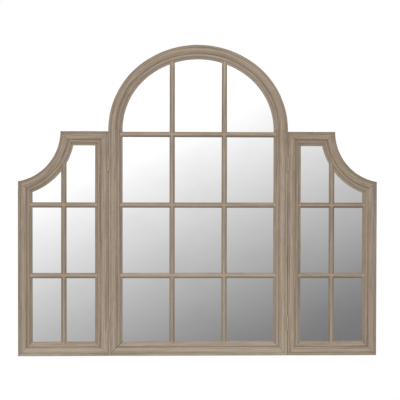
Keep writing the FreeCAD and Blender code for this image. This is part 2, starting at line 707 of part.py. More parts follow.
def hanger_plate():
    """A steel plate with a round hole for the screw head and a slot above it."""
    x = -HALF_WIDTH + BAND_MIDDLE
    half = PLATE_WIDTH / 2
    low = HANGER_HEIGHT - PLATE_BELOW
    high = HANGER_HEIGHT + PLATE_ABOVE
    body = block(x - half, x + half, low, high, 0, PLATE_THICKNESS)
    corners = [edge for edge in body.Edges if abs(edge.tangentAt(edge.FirstParameter).y) > 0.5]
    body = body.makeFillet(PLATE_CORNER, corners)
    forward = V(0, -1, 0)
    slot_end = HANGER_HEIGHT + HANGER_SLOT_RISE
    head_hole = Part.makeCylinder(HEAD_HOLE_RADIUS, PLATE_THICKNESS, at(x, HANGER_HEIGHT, 0), forward)
    slot_round = Part.makeCylinder(HANGER_SLOT_HALF_WIDTH, PLATE_THICKNESS, at(x, slot_end, 0), forward)
    slot_left = x - HANGER_SLOT_HALF_WIDTH
    slot_right = x + HANGER_SLOT_HALF_WIDTH
    slot = block(slot_left, slot_right, HANGER_HEIGHT, slot_end, 0, PLATE_THICKNESS)
    body = body.cut(head_hole.fuse([slot, slot_round]).removeSplitter())
    for point in hanger_screw_points():
        body = body.cut(countersink(point, forward, HANGER_SCREW_HEAD_RADIUS, HANGER_SCREW_RADIUS))
    return body


def hanger_screws():
    sizes = (HANGER_SCREW_HEAD_RADIUS, HANGER_SCREW_RADIUS, HANGER_SCREW_LENGTH)
    return [countersunk_screw(point, V(0, -1, 0), *sizes) for point in hanger_screw_points()]


def hanger_pocket():
    """The seat of the plate, the room behind its keyhole and the holes of its screws."""
    x = -HALF_WIDTH + BAND_MIDDLE
    half = PLATE_WIDTH / 2
    low = HANGER_HEIGHT - PLATE_BELOW
    high = HANGER_HEIGHT + PLATE_ABOVE
    seat = block(x - half, x + half, low, high, 0, PLATE_THICKNESS)
    room = HEAD_HOLE_RADIUS + POCKET_MARGIN
    top = HANGER_HEIGHT + HANGER_SLOT_RISE + room
    back = PLATE_THICKNESS + POCKET_DEPTH
    well = block(x - room, x + room, HANGER_HEIGHT - room, top, 0, back)
    forward = V(0, -1, 0)
    sizes = (HANGER_SCREW_RADIUS, HANGER_SCREW_LENGTH)
    return seat.fuse([well] + [screw_hole(point, forward, *sizes) for point in hanger_screw_points()])


# The assembly, worked out for the centre panel and the left wing

def on_both_sides(shapes):
    return shapes + [mirrored(shape) for shape in shapes]


nodes = {}
centre = centre_members()
wing = wing_members()
hinge_lows = {
    "lower": HINGE_END_DISTANCE - HINGE_LENGTH / 2,
    "upper": WING_HEIGHT - HINGE_END_DISTANCE - HINGE_LENGTH / 2,
}

# Centre panel
uprights, crossbars = centre_bars(centre)
nodes["centre_left_bar"] = uprights[0]
nodes["centre_right_bar"] = uprights[1]
for name, bar in zip(("lower", "middle", "upper"), crossbars):
    nodes[f"centre_{name}_crossbar"] = bar
nodes["centre_mirror"], centre_board = glazing(centre_sheet)
backing_screws, backing_holes = backing_fixings(centre_screw_spots())
nodes["centre_backing_board"] = cut_where_met(centre_board, backing_holes)
nodes["centre_backing_screws"] = Part.makeCompound(backing_screws)
centre_biscuits, biscuit_slots = biscuits(centre_joints())
nodes["centre_biscuits"] = Part.makeCompound(centre_biscuits)
bumper_x = -HALF_WIDTH + BAND_MIDDLE
haunch_spot = arch_point(ARCH_JOINT_ANGLE / 2, BAND_MIDDLE)
centre_bumpers = bumpers([(bumper_x, BUMPER_END_DISTANCE), haunch_spot])
nodes["centre_bumpers"] = Part.makeCompound(on_both_sides(centre_bumpers))
nodes["hanger_plates"] = Part.makeCompound(on_both_sides([hanger_plate()]))
nodes["hanger_screws"] = Part.makeCompound(on_both_sides(hanger_screws()))
frame_screws = [screw for low in hinge_lows.values() for screw in hinge_screws(1, low)]
nodes["centre_hinge_screws"] = Part.makeCompound(on_both_sides(frame_screws))
pockets = [hanger_pocket()] + [hinge_mortise(1, low) for low in hinge_lows.values()]
centre_tools = backing_holes + biscuit_slots + on_both_sides(pockets)
for name, member in centre.items():
    nodes[name] = cut_where_met(member, centre_tools)

# Wings
uprights, crossbars = wing_bars(wing)
pieces = {"bar": uprights[0]}
for name, bar in zip(("lower", "upper"), crossbars):
    pieces[f"{name}_crossbar"] = bar
pieces["mirror"], wing_board = glazing(wing_sheet)
backing_screws, backing_holes = backing_fixings(wing_screw_spots())
pieces["backing_board"] = cut_where_met(wing_board, backing_holes)
pieces["backing_screws"] = Part.makeCompound(backing_screws)
wing_joints = [
    wing_lower_corner, wing_lower_hinge_corner, wing_upper_hinge_corner, wing_shoulder, wing_top_corner
]
wing_biscuits, biscuit_slots = biscuits(wing_joints)
pieces["biscuits"] = Part.makeCompound(wing_biscuits)
bumper_x = OUTER_EDGE + BAND_MIDDLE
high_spot = (bumper_x, wing_shoulder(MOULDING_WIDTH)[1] - BUMPER_END_DISTANCE)
pieces["bumpers"] = Part.makeCompound(bumpers([(bumper_x, BUMPER_END_DISTANCE), high_spot]))
wing_screws = [screw for low in hinge_lows.values() for screw in hinge_screws(-1, low)]
pieces["hinge_screws"] = Part.makeCompound(wing_screws)
wing_tools = backing_holes + biscuit_slots + [hinge_mortise(-1, low) for low in hinge_lows.values()]
for name, member in wing.items():
    pieces[name] = cut_where_met(member, wing_tools)
for place, low in hinge_lows.items():
    for name, piece in hinge_pieces(low).items():
        pieces[f"{place}_hinge_{name}"] = piece
for name, piece in pieces.items():
    nodes[f"left_{name}"] = piece
    nodes[f"right_{name}"] = mirrored(piece)

os.makedirs("parts", exist_ok=True)
for name, shape in nodes.items():
    shape.exportStep(f"parts/{name}.step")
print(len(nodes), "nodes,", round(CENTRE_HEIGHT, 1), "high,", round(-2 * OUTER_EDGE, 1), "wide")
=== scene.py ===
import math
import bpy
from mathutils import Euler, Matrix, Vector


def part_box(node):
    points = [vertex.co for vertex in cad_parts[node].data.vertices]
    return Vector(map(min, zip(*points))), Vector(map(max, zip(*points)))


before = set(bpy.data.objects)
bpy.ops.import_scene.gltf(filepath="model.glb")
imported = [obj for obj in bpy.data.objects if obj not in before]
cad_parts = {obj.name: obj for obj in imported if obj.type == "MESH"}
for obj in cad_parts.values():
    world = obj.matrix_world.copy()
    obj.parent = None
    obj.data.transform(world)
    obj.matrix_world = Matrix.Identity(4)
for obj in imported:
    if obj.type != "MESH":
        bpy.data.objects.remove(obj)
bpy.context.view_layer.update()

# Centre stiles: two upright lengths of moulded softwood, square-cut under the arch and mitred to the
# bottom rail. The timber is brushed and stained grey-brown, then rubbed with a pale wash; the stain
# stays darker in the quirks of the moulding and the back is left bare. The crests are also painted
# paler as painted highlight, and the stiles lighter towards the bottom as painted light from below.
CENTRE_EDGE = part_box("centre_right_stile")[1].x
MOULDING = CENTRE_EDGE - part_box("centre_right_stile")[0].x
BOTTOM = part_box("centre_bottom_rail")[0].z
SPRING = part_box("centre_right_stile")[1].z
UPPER_STILE = (-0.40, -0.10)  # heights between which the lower look of a stile becomes the upper one
UPPER_WIPING = 0.6  # share of the stain that is wiped off there


class Flow:
    """One output of a node in a finish, or its start. Sums and products of it add Math nodes."""

    def __init__(self, tree, socket=None):
        self.tree = tree
        self.socket = socket

    def node(self, kind, settings, inputs, output=0):
        """Adds a node: its settings come first, then the values or links of its sockets."""
        added = self.tree.nodes.new("ShaderNode" + kind)
        for name, value in settings.items():
            if name == "stops":
                ramp = added.color_ramp.elements
                for spare in range(len(value) - len(ramp)):
                    ramp.new(0.5)
                for stop, (position, colour) in zip(ramp, value):
                    stop.position = position
                    stop.color = colour
            else:
                setattr(added, name, value)
        for name, value in inputs.items():
            if isinstance(value, Flow):
                self.tree.links.new(value.socket, added.inputs[name])
            else:
                added.inputs[name].default_value = value
        return Flow(self.tree, added.outputs[output])

    def math(self, operation, *values):
        return self.node("Math", {"operation": operation}, dict(enumerate(values)))

    def __add__(self, other):
        return self.math("ADD", self, other)

    def __sub__(self, other):
        return self.math("SUBTRACT", self, other)

    def __rsub__(self, other):
        return self.math("SUBTRACT", other, self)

    def __mul__(self, other):
        return self.math("MULTIPLY", self, other)

    def __abs__(self):
        return self.math("ABSOLUTE", self)

    __radd__ = __add__
    __rmul__ = __mul__

    def rise(self, low, high):
        """0 below low, 1 above high and smooth between them."""
        ends = {"Value": self, "From Min": low, "From Max": high}
        return self.node("MapRange", {"interpolation_type": "SMOOTHSTEP"}, ends)

    def line(self, core, reach):
        """1 where the value is within core of zero, fading out at reach."""
        return 1 - abs(self).rise(core, reach)

    def most(self, other):
        return self.math("MAXIMUM", self, other)

    def root(self):
        return self.math("SQRT", self)

    def noise(self, x, y, z, detail):
        """Clouded noise on three coordinates, from 0 to 1."""
        place = self.node("CombineXYZ", {}, {"X": x, "Y": y, "Z": z})
        sizes = {"Vector": place, "Scale": 1.0, "Detail": detail, "Roughness": 0.55}
        return self.node("TexNoise", {"noise_dimensions": "3D"}, sizes, "Fac")

    def tint(self, under, over):
        """A colour that goes from one to another as this value goes from 0 to 1."""
        colours = {"Factor": self, 6: under, 7: over}
        return self.node("Mix", {"data_type": "RGBA"}, colours, 2)


def begin_finish(name):
    """A new finish and the x, y and z of the object's own coordinates in it."""
    finish = bpy.data.materials.new(name)
    finish.use_nodes = True
    place = Flow(finish.node_tree).node("TexCoord", {}, {}, "Object")
    x, y, z = (place.node("SeparateXYZ", {}, {"Vector": place}, i) for i in range(3))
    return finish, x, y, z


def end_finish(finish, nodes, **inputs):
    """Sets the sockets of the surface and gives the finish to the pieces."""
    surface = finish.node_tree.nodes["Principled BSDF"]
    for name, value in inputs.items():
        socket = surface.inputs[name.replace("_", " ")]
        if isinstance(value, Flow):
            finish.node_tree.links.new(value.socket, socket)
        else:
            socket.default_value = value
    for node in nodes:
        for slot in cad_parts[node].material_slots:
            slot.material = finish


def bumped(height, depth, strength, arris):
    """Fine relief on a surface whose sharp edges are rubbed to the radius arris."""
    rounded = height.node("Bevel", {"samples": 4}, {"Radius": arris})
    relief = {"Height": height, "Distance": depth, "Strength": strength, "Normal": rounded}
    return height.node("Bump", {}, relief)


STAIN_DARK = (0.215, 0.163, 0.116, 1)
STAIN_MIDDLE = (0.330, 0.259, 0.192, 1)
STAIN_LIGHT = (0.440, 0.358, 0.278, 1)
STAIN_COOL = (0.300, 0.266, 0.215, 1)
STAIN_WARM = (0.365, 0.260, 0.195, 1)
# The pale wash colour also paints highlights, and the quirk stain colour also paints shade.
PALE_WASH_AND_HIGHLIGHT = (0.490, 0.430, 0.355, 1)
QUIRK_STAIN_AND_SHADE = (0.130, 0.094, 0.066, 1)
JOINT_GAP = (0.060, 0.045, 0.033, 1)
BARE_WOOD = (0.470, 0.335, 0.205, 1)
BROAD_GRAIN = (75, 3, 2.0)  # waves per metre across and along the grain, and detail
STREAKS = (330, 5, 2.0)
FIBRES = (700, 22, 2.0)
PORES = (2600, 130, 1.0)
RUBBING = (210, 17, 4.0)
HUES = (45, 5, 2.0)
HUE_SHIFT = 1.4  # along the grain, so that the hues don't follow the streaks
GRAIN_DEPTH = 0.0004
WOOD_ARRIS = 0.0006  # radius to which the sharp edges are rubbed


def drawn_out(grain, waves):
    """Noise drawn out along the grain, which is given by the coordinates across, along and y."""
    across, along, y = grain
    return y.noise(across * waves[0], y * waves[0], along * waves[1], waves[2])


def washed_wood(finish, nodes, grain, paler, stain_and_shade, crest, bare, joints=0.0):
    """Stained softwood with a pale wash. Staining with painted shade, worn crests with painted
    highlights, bare wood and joints are given as masks.
    """
    across, along, y = grain
    broad = drawn_out(grain, BROAD_GRAIN)
    streak = drawn_out(grain, STREAKS)
    fibre = drawn_out(grain, FIBRES)
    pore = drawn_out(grain, PORES).rise(0.62, 0.72)
    rubbed = drawn_out(grain, RUBBING).rise(0.52, 0.72)
    hue = drawn_out((across, along + HUE_SHIFT, y), HUES)
    tone = 0.5 + paler + (broad - 0.5) * 0.8 + (streak - 0.5) * 1.4 + (fibre - 0.5)
    stops = [(0.1, STAIN_DARK), (0.5, STAIN_MIDDLE), (0.9, STAIN_LIGHT)]
    colour = y.node("ValToRGB", {"stops": stops}, {"Fac": tone})
    colour = (hue.rise(0.52, 0.72) * 0.35).tint(colour, STAIN_COOL)
    colour = ((1 - hue).rise(0.52, 0.72) * 0.35).tint(colour, STAIN_WARM)
    colour = (rubbed * 0.25).tint(colour, PALE_WASH_AND_HIGHLIGHT)
    # The crest mask paints the pale wash where crests are worn, and painted highlights.
    colour = (crest * 0.12).tint(colour, PALE_WASH_AND_HIGHLIGHT)
    colour = (pore * 0.35).tint(colour, QUIRK_STAIN_AND_SHADE)
    # This darkening is stain, plus painted shade where quirk, rim and the crossbars' undersides add
    # it.
    colour = (stain_and_shade * (0.6 + streak * 0.8)).tint(colour, QUIRK_STAIN_AND_SHADE)
    colour = (joints * (0.35 + streak)).tint(colour, JOINT_GAP)
    bare_colour = (streak.rise(0.3, 0.7) * 0.4 + pore * 0.2).tint(BARE_WOOD, STAIN_MIDDLE)
    height = streak * 0.35 + fibre * 0.45 - pore * 0.5 - joints * 0.8
    end_finish(
        finish,
        nodes,
        Base_Color=bare.tint(colour, bare_colour),
        Roughness=0.60 + streak * 0.14 - crest * 0.05 + bare * 0.12,
        Specular_IOR_Level=0.35,
        Normal=bumped(height, GRAIN_DEPTH, 0.5, WOOD_ARRIS),
    )


# Places across the moulding are distances from its outer edge. A line is given by two half-widths,
# within which it is full and at which it has faded. Depths are from the back towards the viewer.
EDGE_LINE = (0.0010, 0.0030)
ARRIS_LINE = (0.0006, 0.0017)
FILLET_END = (0.006, 0.009)
TORUS_FOOT = 0.0253
FOOT_LINE = (0.0008, 0.0036)
REBATE_WALL = (0.0294, 0.0295)
BEAD = 0.0345
BEAD_LINE = (0.0004, 0.0022)
COVE_START = (0.0350, 0.0385)
STAIN_LEFT = (  # stain that wiping has left, by distance from the outer edge
    (0.0070, 0.00),
    (0.0083, 0.10),
    (0.0100, 0.00),
    (0.0210, 0.00),
    (0.0275, 0.12),
    (0.0290, 0.20),
    (0.0310, 0.10),
    (0.0345, 0.06),
    (0.0380, 0.14),
    (0.0395, 0.30),
    (0.0450, 0.30),
    (0.0480, 0.22),
)
FILLET_FRONT = (0.0205, 0.0225)
TORUS_FRONT = (0.0250, 0.0261)
REBATE_FLOOR = (0.0124, 0.0126)
BACK_FACE = (0.0003, 0.0011)
STAIN_RUN = 0.006  # how far stain has run round the outer edge onto the back
STAIN_RUN_END = (0.0058, 0.0070)
WEAR = (60, 30, 4.0)


def moulded_member(
    finish, nodes, grain, edge, joints, paler, stained, torus_wash_and_highlight, rim,
    hollow=0.0, quirk=0.0, outline=0.0,
):
    """The finish of a frame member, where edge is the distance from its outer edge.

    paler is added to its tone. stained is the share of the staining in the moulding that rubbing
    has left, and torus_wash_and_highlight the share of pale wash and painted highlight on the torus.
    rim is staining on the outer fillet, with painted shade on the arch, and outline is more of it
    along the very edge. quirk is painted shade at the foot of the torus, hollow is painted light in
    the cove.
    """
    across, along, y = grain
    depth = y * -1
    stops = [(place / MOULDING, (amount, amount, amount, 1)) for place, amount in STAIN_LEFT]
    stain_and_shade = y.node("ValToRGB", {"stops": stops}, {"Fac": edge * (1 / MOULDING)}) * stained
    # quirk paints shade at the foot of the torus: painted shade.
    stain_and_shade = stain_and_shade + (edge - TORUS_FOOT).line(*FOOT_LINE) * quirk
    # rim darkens the outer fillet and edge with stain, and on the arch with painted shade.
    stain_and_shade = stain_and_shade + (1 - edge.rise(*FILLET_END)) * rim
    stain_and_shade = stain_and_shade + edge.line(*EDGE_LINE) * (rim * 2 + outline)
    worn = drawn_out(grain, WEAR).rise(0.50, 0.62)
    arris = edge.line(*ARRIS_LINE) * depth.rise(*FILLET_FRONT) * worn
    # The front of the torus and the bead are painted paler: worn wash and a painted highlight.
    crest = (depth.rise(*TORUS_FRONT) * torus_wash_and_highlight).most((edge - BEAD).line(*BEAD_LINE) * 0.4)
    # hollow paints the cove paler: painted light in the cove.
    crest = crest.most(arris * 4.5).most(edge.rise(*COVE_START) * hollow)
    ragged = edge + y.noise(across * 240, y * 10, along * 60, 3.0) * STAIN_RUN
    back = (1 - depth.rise(*BACK_FACE)) * ragged.rise(*STAIN_RUN_END)
    rebate = edge.rise(*REBATE_WALL) * (1 - depth.rise(*REBATE_FLOOR))
    bare = back.most(rebate)
    washed_wood(finish, nodes, grain, paler, stain_and_shade * (1 - arris), crest, bare, joints)


JOINT_LINE = (0.0001, 0.0005)
FILLED = 0.3  # what shows of the arch's joints, which are filled


def joint_line(*distances):
    """The fine dark line along a member's glued joints."""
    line = distances[0].line(*JOINT_LINE)
    for distance in distances[1:]:
        line = line.most(distance.line(*JOINT_LINE))
    return line


OPEN_GAP = (0.0005, 0.0014)
GAP_OPENS = (0.004, 0.016)
MIDDLE = (-0.01, 0.01)  # between the left and the right half


def open_mitre(x, z, edge):
    """The mitre at the foot of the left centre stile, which has opened towards the glass."""
    gap = (edge - (z - BOTTOM)).line(*OPEN_GAP) * edge.rise(*GAP_OPENS)
    return gap * (1 - x.rise(*MIDDLE))


finish, x, y, z = begin_finish("centre_stile_wood")
edge = CENTRE_EDGE - abs(x)
joints = joint_line(edge - (z - BOTTOM)).most(open_mitre(x, z, edge))
joints = joints.most(joint_line(z - SPRING) * FILLED)
upper = z.rise(*UPPER_STILE)
centre_stiles = ["centre_left_stile", "centre_right_stile"]
# paler rises towards the bottom: painted light from below.
moulded_member(
    finish, centre_stiles, (x, z, y), edge, joints,
    paler=-0.09 - z * 0.33, stained=1 - upper * UPPER_WIPING, torus_wash_and_highlight=1 - upper, rim=0.02,
)

# Centre bottom rail: a level length of the same moulding, mitred to both stiles with a biscuit
# glued in each corner. It is painted the palest of the members, as painted light from below.
finish, x, y, z = begin_finish("centre_rail_wood")
edge = z - BOTTOM
from_end = CENTRE_EDGE - abs(x)
joints = joint_line(edge - from_end).most(open_mitre(x, z, from_end))
moulded_member(
    finish, ["centre_bottom_rail"], (z, x, y), edge, joints,
    paler=0.22, stained=0.3, torus_wash_and_highlight=1.8, rim=0.05,
)

# Arch: two haunches and a crown of the same softwood, sawn to the curve and run on a curved fence
# past the same cutters, then glued end to end and filled. The brushed grain runs on from the stiles
# round the bend.
ARCH_JOINT = math.radians(30)  # angle from the spring to the joints, on the haunches' arcs
HAUNCH_RADIUS = (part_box("arch_right_haunch")[1].z - SPRING) / math.sin(ARCH_JOINT)
HAUNCH_OFFSET = CENTRE_EDGE - HAUNCH_RADIUS  # from the middle line to the centre of such an arc
CROWN_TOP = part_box("arch_crown")[1].z
ARCH_RISE = CROWN_TOP - SPRING
CROWN_LIFT = ARCH_RISE - HAUNCH_RADIUS
CROWN_RADIUS = (HAUNCH_OFFSET**2 + ARCH_RISE**2 - HAUNCH_RADIUS**2) / (2 * CROWN_LIFT)
CROWN_CENTRE = CROWN_TOP - CROWN_RADIUS
CROWN_END = (0.19, 0.23)  # from the middle line towards a joint


def from_centre(x, z, centre_x, centre_z):
    """Distance from the centre of a bend that both sides of the object have."""
    out = abs(x) - centre_x
    up = z - centre_z
    return (out * out + up * up).root()


def round_bend(x, z, centre_x, centre_z):
    """Length along the grain that follows such a bend."""
    out = abs(x) - centre_x
    return out.math("ARCTAN2", z - centre_z, out) * CENTRE_EDGE


def arch_joint(x, z):
    """Distance from the joint between haunch and crown."""
    out = abs(x) - HAUNCH_OFFSET
    return (z - SPRING) * math.cos(ARCH_JOINT) - out * math.sin(ARCH_JOINT)


finish, x, y, z = begin_finish("haunch_wood")
radius = from_centre(x, z, HAUNCH_OFFSET, SPRING)
across = x.math("SIGN", x) * (radius + HAUNCH_OFFSET)
along = round_bend(x, z, HAUNCH_OFFSET, SPRING) + SPRING
joints = joint_line(z - SPRING, arch_joint(x, z)) * FILLED
haunches = ["arch_left_haunch", "arch_right_haunch"]
on_right = x.rise(*MIDDLE)
# On the haunches, hollow paints more light into the left cove, quirk paints shade in the left quirk
# and rim paints shade on the right fillet.
moulded_member(
    finish, haunches, (across, along, y), HAUNCH_RADIUS - radius, joints,
    paler=-0.02, stained=0.4 - on_right * 0.2, torus_wash_and_highlight=0.0, rim=on_right * 0.06,
    hollow=1.0 - on_right * 0.3, quirk=0.60 - on_right * 0.48, outline=0.45,
)

finish, x, y, z = begin_finish("crown_wood")
edge = HAUNCH_RADIUS - from_centre(x, z, HAUNCH_OFFSET, SPRING)
edge = edge.most(CROWN_RADIUS - from_centre(x, z, 0.0, CROWN_CENTRE))
over_apex = x.math("ARCTAN2", x, z - CROWN_CENTRE) * CENTRE_EDGE
joints = joint_line(arch_joint(x, z)) * FILLED
left_end = (x * -1).rise(*CROWN_END)
# On the crown, hollow paints more light into the cove towards the left, quirk paints shade in the
# quirk at the left end and rim paints more shade on the fillet towards the right.
moulded_member(
    finish, ["arch_crown"], (edge, over_apex, y), edge, joints,
    paler=-0.06, stained=0.25, torus_wash_and_highlight=0.0, rim=0.04 + x * 0.15,
    hollow=1.4 - x * 2.5, quirk=left_end * 0.6, outline=0.6,
)

# Wing stiles: upright lengths of the same moulding. The outer stile is mitred to the bottom rail and,
# at the shoulder, to the scoop. The hinge stile is planed narrower along the seam and takes the
# leaves of two hinges.
WING_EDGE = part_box("right_outer_stile")[1].x
WING_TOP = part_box("right_top_rail")[1].z
MOULDED_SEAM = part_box("right_hinge_stile")[1].x - MOULDING  # the edge before planing
SCOOP_WIDTH = WING_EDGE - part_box("right_top_rail")[1].x
SCOOP_DROP = WING_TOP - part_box("right_outer_stile")[1].z
SCOOP_RADIUS = (SCOOP_WIDTH**2 + SCOOP_DROP**2) / (2 * SCOOP_WIDTH)
SCOOP_X = WING_EDGE - SCOOP_WIDTH + SCOOP_RADIUS  # its centre is outside the wing, level with the top


def inside_scoop(x, z):
    """Distance from the hollow outer edge of a scoop."""
    return from_centre(x, z, SCOOP_X, WING_TOP) - SCOOP_RADIUS


finish, x, y, z = begin_finish("wing_stile_wood")
edge = WING_EDGE - abs(x)
joints = joint_line(edge - (z - BOTTOM), edge - inside_scoop(x, z))
upper = z.rise(*UPPER_STILE)
outer_stiles = ["left_outer_stile", "right_outer_stile"]
moulded_member(
    finish, outer_stiles, (x, z, y), edge, joints,
    paler=-0.07 - z * 0.02 + x * 0.04, stained=1 - upper * UPPER_WIPING, torus_wash_and_highlight=1 - upper, rim=0.2,
)

finish, x, y, z = begin_finish("hinge_stile_wood")
edge = abs(x) - MOULDED_SEAM
joints = joint_line(edge - (z - BOTTOM), edge - (WING_TOP - z))
upper = z.rise(*UPPER_STILE)
hinge_stiles = ["left_hinge_stile", "right_hinge_stile"]
# paler rises towards the bottom: painted light from below.
moulded_member(
    finish, hinge_stiles, (x, z, y), edge, joints,
    paler=-0.11 - z * 0.25 - x * 0.10, stained=1 - upper * UPPER_WIPING, torus_wash_and_highlight=1 - upper, rim=0.02,
)

# Wing rails: short level lengths of the same moulding at the foot and at the top of each wing, mitred
# at both ends and glued with biscuits.
finish, x, y, z = begin_finish("wing_foot_wood")
edge = z - BOTTOM
joints = joint_line(edge - (WING_EDGE - abs(x)), edge - (abs(x) - MOULDED_SEAM))
foot_rails = ["left_bottom_rail", "right_bottom_rail"]
# These rails are painted paler than the stiles: painted light from below.
moulded_member(
    finish, foot_rails, (z, x, y), edge, joints,
    paler=0.10 - x * 0.25, stained=0.3, torus_wash_and_highlight=1.5, rim=0.05, outline=0.5,
)

finish, x, y, z = begin_finish("wing_top_wood")
edge = WING_TOP - z
joints = joint_line(edge - inside_scoop(x, z), edge - (abs(x) - MOULDED_SEAM))
top_rails = ["left_top_rail", "right_top_rail"]
moulded_member(
    finish, top_rails, (z, x, y), edge, joints,
    paler=-0.16 - x * 0.12, stained=0.2, torus_wash_and_highlight=0.0, rim=0.2, hollow=1.0,
)

# Scoops: hollow quarter curves of the same softwood that join top rail and outer stile, sawn to
# shape, moulded along their concave outer edge and glued with biscuits.
SIDE_SHIFT = 3.0  # along the grain, so that the two sides differ
finish, x, y, z = begin_finish("scoop_wood")
radius = from_centre(x, z, SCOOP_X, WING_TOP)
along = round_bend(x, z, SCOOP_X, WING_TOP) + x.math("SIGN", x) * SIDE_SHIFT
edge = radius - SCOOP_RADIUS
joints = joint_line(edge - (WING_EDGE - abs(x)), edge - (WING_TOP - z))
scoops = ["left_scoop_rail", "right_scoop_rail"]
moulded_member(
    finish, scoops, (radius, along, y), edge, joints,
    paler=-0.10, stained=0.4, torus_wash_and_highlight=0.0, rim=0.3, hollow=0.7,
)

# Glazing bars: slim ridged bars of the same washed wood that lie on the glass. Their ends are
# scribed over the cove of the frame, and uprights and crossbars are halved into each other. The
# finish is rubbed through to the wood where they cross and at their ends.
LEFT_RIGHT = ("left", "right")
LOWER_ROW = sum(end.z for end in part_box("centre_lower_crossbar")) / 2
ROW_PITCH = sum(end.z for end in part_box("centre_middle_crossbar")) / 2 - LOWER_ROW
CENTRE_UPRIGHT = sum(end.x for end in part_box("centre_right_bar")) / 2
WING_UPRIGHT = sum(end.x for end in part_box("right_bar")) / 2
BAR_STOPS = [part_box("centre_lower_crossbar")[1].x]
BAR_STOPS += [end.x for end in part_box("right_lower_crossbar")]
BAR_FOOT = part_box("centre_right_bar")[0].z
BAR_SIDE = (0.0182, 0.0206)  # depths, from the edges that keep stain and painted shade up to the ridge
BAR_RIDGE = (0.0208, 0.0220)
ACROSS_SEAM = (0.28, 0.34)  # from the middle line, between the bars of the centre and of a wing
CROSSING_RUB = (0.003, 0.008)
END_RUB = (0.006, 0.011)


def above_row(z):
    """Height above the nearest row of crossbars."""
    return z.math("WRAP", z - LOWER_ROW, ROW_PITCH / 2, ROW_PITCH / -2)


def bar_wood(finish, nodes, grain, paler, rubbed, sides):
    """A glazing bar's finish, with a mask of rubbed places and the staining and painted shade on its
    sides.
    """
    depth = grain[2] * -1
    # Stain, and on the crossbars painted shade, darkens the sides below the ridge.
    stain_and_shade = (1 - depth.rise(*BAR_SIDE)) * sides * (1 - rubbed * 0.6)
    # The ridge is painted paler as a painted highlight, and the rubbed places as wear.
    crest = depth.rise(*BAR_RIDGE) + rubbed
    washed_wood(finish, nodes, grain, paler, stain_and_shade, crest, bare=rubbed * 0.4)


finish, x, y, z = begin_finish("upright_bar_wood")
rubbed = above_row(z).line(*CROSSING_RUB).most((z - BAR_FOOT).line(*END_RUB))
paler = -0.05 - abs(x).rise(*ACROSS_SEAM) * 0.10 + x * 0.1
uprights = ["centre_left_bar", "centre_right_bar", "left_bar", "right_bar"]
bar_wood(finish, uprights, (x, z, y), paler, rubbed, sides=0.35)

finish, x, y, z = begin_finish("crossbar_wood")
rubbed = (abs(x) - CENTRE_UPRIGHT).line(*CROSSING_RUB)
rubbed = rubbed.most((abs(x) - WING_UPRIGHT).line(*CROSSING_RUB))
for stop in BAR_STOPS:
    rubbed = rubbed.most((abs(x) - stop).line(*END_RUB))
on_wing = abs(x).rise(*ACROSS_SEAM)
on_right = x.rise(*ACROSS_SEAM)
# paler rises towards the bottom: painted light from below.
paler = -0.08 - z * 0.55 + on_wing * (0.07 + z * 0.35) - on_right * (0.45 + z * 0.6)
crossbars = [f"centre_{row}_crossbar" for row in ("lower", "middle", "upper")]
crossbars += [f"{side}_{row}_crossbar" for side in LEFT_RIGHT for row in ("lower", "upper")]
# Each crossbar is darker on its underside: painted shade under the bar.
painted_underside_shade = (above_row(z) * -1).rise(0.000, 0.004)
bar_wood(finish, crossbars, (z, x, y), paler, rubbed, sides=0.05 + painted_underside_shade * 0.60)

# Mirrors: one sheet of 4 mm float glass for each panel, silvered behind. It lies in the front
# rebate under the bars, clean but for a faint haze left by the cloth.
SILVER = (0.930, 0.935, 0.932, 1)
SILVER_HAZE = (0.900, 0.903, 0.900, 1)
finish, x, y, z = begin_finish("silvered_glass")
haze = y.noise(x * 5 + z * 3, y, z * 9 - x * 4, 4.0).rise(0.45, 0.75)
specks = y.noise(x * 420, y, z * 420, 2.0).rise(0.70, 0.78)
end_finish(
    finish,
    ["centre_mirror", "left_mirror", "right_mirror"],
    Base_Color=haze.tint(SILVER, SILVER_HAZE),
    Metallic=1.0,
    Roughness=0.012 + haze * 0.018 + specks * 0.03,
)

# Backing boards: 3 mm hardboard screwed into the rear rebate of each frame to hold the mirror. The
# pressed fibres leave a mottled brown face.
BOARD_BROWN = (0.262, 0.165, 0.094, 1)
BOARD_DARK = (0.165, 0.098, 0.053, 1)
BOARD_FLECK = (0.400, 0.285, 0.175, 1)
BOARD_RELIEF = 0.0003
BOARD_ARRIS = 0.0003
finish, x, y, z = begin_finish("hardboard")
cloud = y.noise(x * 14, y * 14, z * 14, 4.0)
mottle = y.noise(x * 110, y * 110, z * 80, 4.0)
fibres = y.noise(x * 900, y * 900, z * 260, 3.0)
flecks = y.noise(x * 700, y * 700, z * 1500, 2.0).rise(0.64, 0.74)
colour = (0.55 + cloud.rise(0.3, 0.7) * 0.3).tint(BOARD_DARK, BOARD_BROWN)
colour = (mottle.rise(0.45, 0.7) * 0.16).tint(colour, BOARD_FLECK)
colour = ((1 - mottle).rise(0.48, 0.7) * 0.20).tint(colour, BOARD_DARK)
colour = (fibres.rise(0.35, 0.7) * 0.45).tint(colour, BOARD_BROWN)
colour = (flecks * 0.5).tint(colour, BOARD_FLECK)
end_finish(
    finish,
    ["centre_backing_board", "left_backing_board", "right_backing_board"],
    Base_Color=colour,
    Roughness=0.72 + fibres * 0.16,
    Specular_IOR_Level=0.3,
    Normal=bumped(fibres * 0.6 + flecks * 0.4, BOARD_RELIEF, 0.5, BOARD_ARRIS),
)

# Backing and hanger screws: zinc-plated steel with a cross recess, slightly yellow, driven by hand
# through the hardboard or the hanger plates and dulled a little by handling.
SCREW_ZINC = (0.570, 0.515, 0.395, 1)
SCREW_DULL = (0.370, 0.325, 0.235, 1)
SCRATCH_DEPTH = 0.0001
METAL_ARRIS = 0.0002


